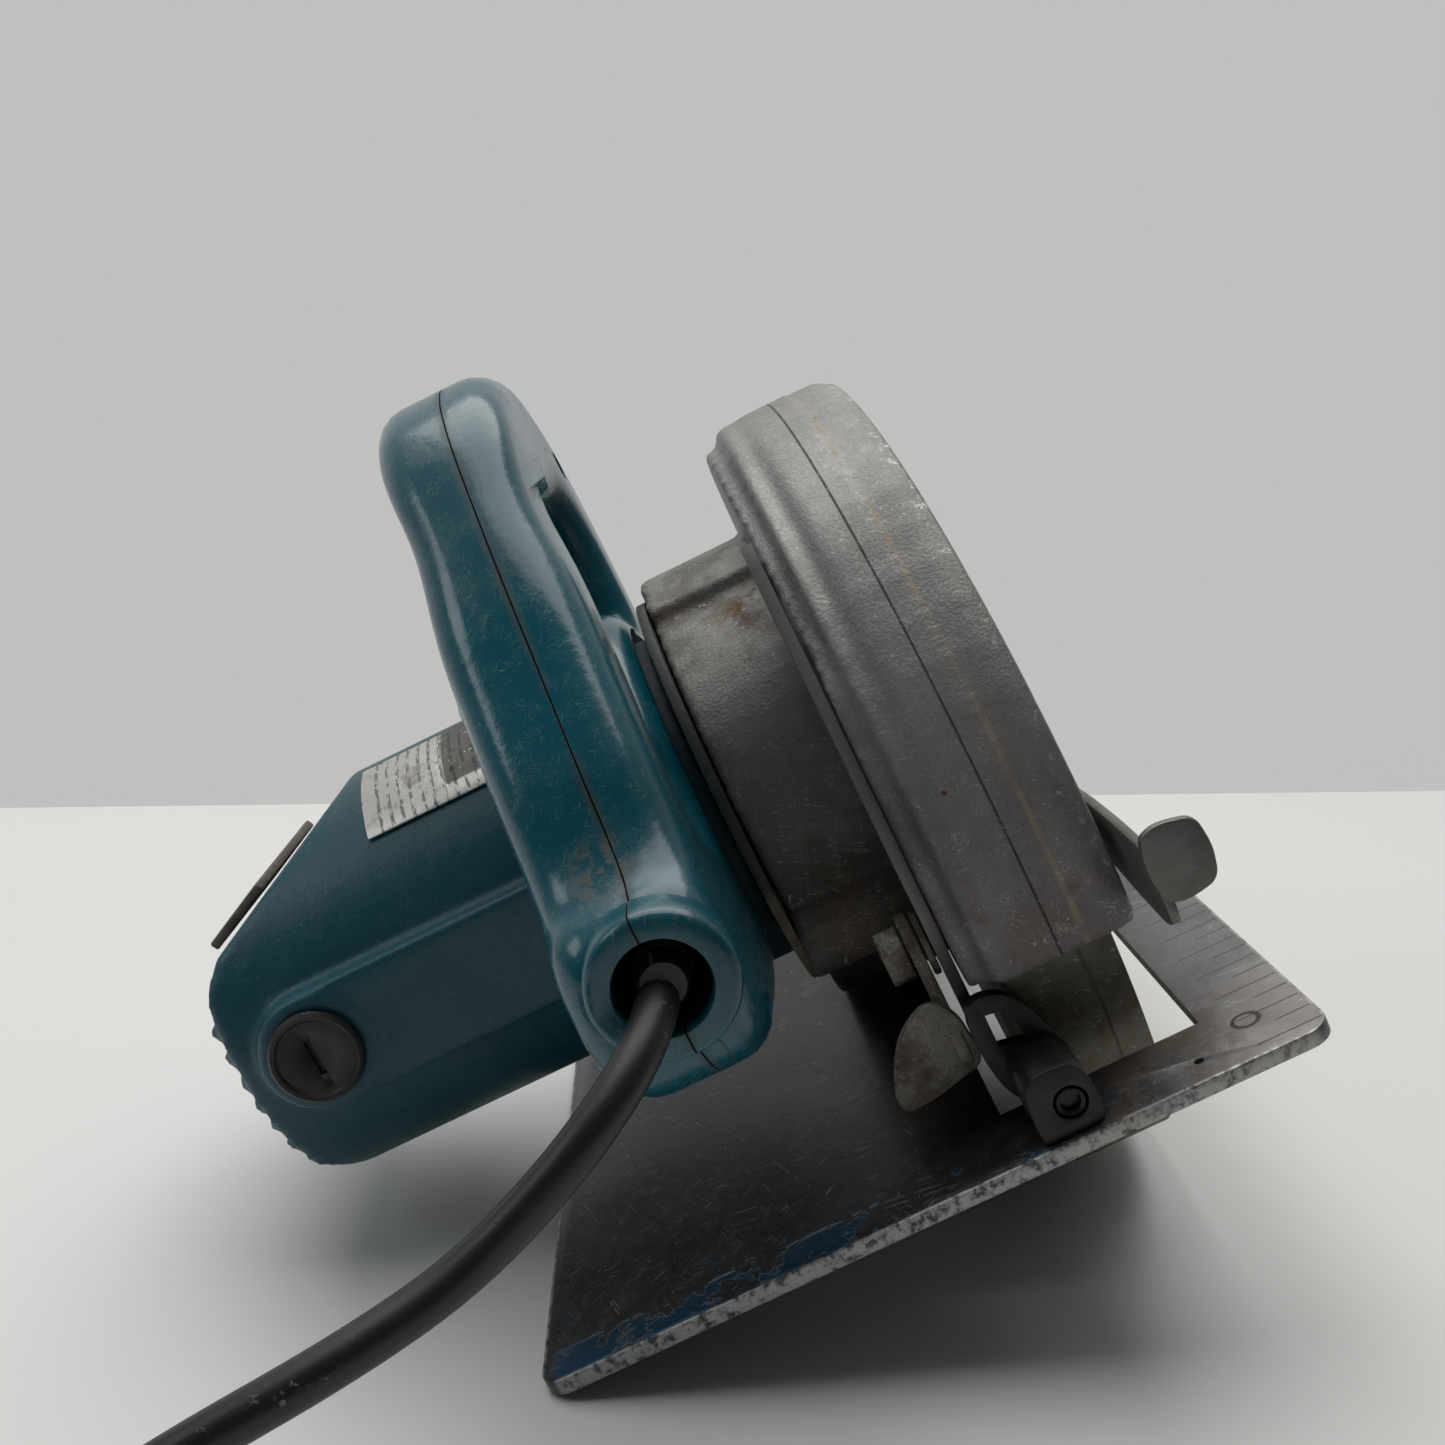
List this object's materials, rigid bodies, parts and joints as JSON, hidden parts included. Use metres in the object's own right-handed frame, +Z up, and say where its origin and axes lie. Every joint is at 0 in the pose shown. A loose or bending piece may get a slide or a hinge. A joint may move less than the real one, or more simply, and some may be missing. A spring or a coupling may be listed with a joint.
{
  "type": "circular saw",
  "caption": "Corded hand-held circular saw with die-cast blade case, side motor, D-handle, flat steel base with tilt and depth joints, lower guard and supply cord.",
  "frame": {"origin": "centre of the saw's bounding box at table level, the cord and what is on it left out; the saw lies as it is put down, rolled about the left edge of its base onto the rim of its lower guard", "axes": "+X forward along the cut and the base's long edge, +Y towards the motor side (left), +Z up from the table"},
  "size_m": [0.4083, 0.3036, 0.1756],
  "materials": {
    "base_steel": "worn, scratched",
    "black_steel": "dusty black",
    "blade_steel": "ground, dull",
    "grey_casting": "rough die casting",
    "guard_alloy": "tarnished",
    "laminations": "varnished",
    "brass": "dull",
    "teal_gloss": "glossy, scuffed",
    "teal_matte": "fine texture",
    "black_plastic": "satin",
    "grey_plastic": "dusty",
    "cream_plastic": "aged",
    "cord_rubber": "satin"
  },
  "bodies": {
    "base": {"base_plate": "base_steel", "bevel_quadrant": "base_steel", "rear_bracket": "black_steel"},
    "bevel_frame": {"front_yoke": "grey_casting", "depth_pivot_pin": "base_steel", "bevel_pin": "base_steel", "depth_guide": "black_steel", "rear_pivot_bolt": "black_steel"},
    "spindle_set": {"spindle": "base_steel", "drive_gear": "base_steel", "inner_flange": "base_steel", "blade": "blade_steel", "outer_flange": "base_steel", "blade_bolt": "black_steel"},
    "armature": {"armature_shaft": "base_steel", "armature_core": "laminations", "commutator": "brass", "fan": "black_plastic"},
    "guard": {"lower_guard": "guard_alloy", "guard_lever": "guard_alloy"},
    "trigger": {"trigger": "black_plastic"},
    "depth_lever": {"depth_lever": "base_steel"},
    "wing_bolt": {"bevel_wing_bolt": "base_steel"},
    "rip_screw": {"rip_fence_screw": "black_plastic"},
    "saw_body": {"baffle_plate": "cream_plastic", "bearing_box": "grey_casting", "blade_case": "grey_casting", "brush_cap_front": "black_plastic", "brush_cap_rear": "black_plastic", "brush_front": "black_plastic", "brush_holder_front": "brass", "brush_holder_rear": "brass", "brush_rear": "black_plastic", "cord_clamp": "black_plastic", "cord_coil": "cord_rubber", "cord_plug": "cord_rubber", "cord_tube": "cord_rubber", "depth_bolt": "base_steel", "front_knob": "teal_gloss", "handle_left": "teal_gloss", "handle_right": "teal_gloss", "handle_screw_foot": "base_steel", "handle_screw_front": "base_steel", "handle_screw_rear": "base_steel", "handle_screw_top": "base_steel", "motor_end_cover": "grey_plastic", "motor_housing": "teal_matte", "nameplate": "base_steel", "shaft_bearing_front": "base_steel", "shaft_bearing_rear": "base_steel", "spindle_bearing": "base_steel", "stator": "laminations", "switch_body": "black_plastic"}
  },
  "joints": [
    {"name": "bevel_tilt", "type": "hinge", "parent": "base", "child": "bevel_frame", "pos_m": [0.009, -0.05736, 0.05346], "axis": [1, 0, 0], "range_deg": [0, 45]},
    {"name": "depth_swing", "type": "hinge", "parent": "bevel_frame", "child": "saw_body", "pos_m": [0.115, -0.05301, 0.06246], "axis": [0, 0.9003, -0.4353], "range_deg": [-0.25, 17]},
    {"name": "blade_spin", "type": "hinge", "parent": "saw_body", "child": "spindle_set", "pos_m": [-0.004, -0.05308, 0.08483], "axis": [0, 0.9003, -0.4353], "continuous": true},
    {"name": "armature_spin", "type": "hinge", "parent": "saw_body", "child": "armature", "pos_m": [-0.02726, 0.0334, 0.07071], "axis": [0, 0.9003, -0.4353], "continuous": true},
    {"name": "guard_swing", "type": "hinge", "parent": "saw_body", "child": "guard", "pos_m": [-0.004, -0.05308, 0.08483], "axis": [0, 0.9003, -0.4353], "range_deg": [0, 120], "stiffness_Nm_per_rad": 0.25, "springref_deg": -34.38},
    {"name": "trigger_press", "type": "hinge", "parent": "saw_body", "child": "trigger", "pos_m": [-0.028, 0.04292, 0.15104], "axis": [0, 0.9003, -0.4353], "range_deg": [0, 8], "stiffness_Nm_per_rad": 0.3, "springref_deg": -11.46},
    {"name": "depth_lever_turn", "type": "hinge", "parent": "saw_body", "child": "depth_lever", "pos_m": [-0.0835, -0.03417, 0.07224], "axis": [0, 0.9003, -0.4353], "range_deg": [0, 45]},
    {"name": "wing_bolt_turn", "type": "hinge", "parent": "bevel_frame", "child": "wing_bolt", "pos_m": [0.133, -0.02481, 0.07438], "axis": [1, 0, 0], "range_deg": [0, 180]},
    {"name": "rip_screw_turn", "type": "hinge", "parent": "base", "child": "rip_screw", "pos_m": [0.129, 0.01435, 0.02212], "axis": [0, 0.4353, 0.9003], "range_deg": [0, 180]}
  ],
  "couplings": [
    {"joint": "armature_spin", "follows": "blade_spin", "ratio": -5.2}
  ]
}
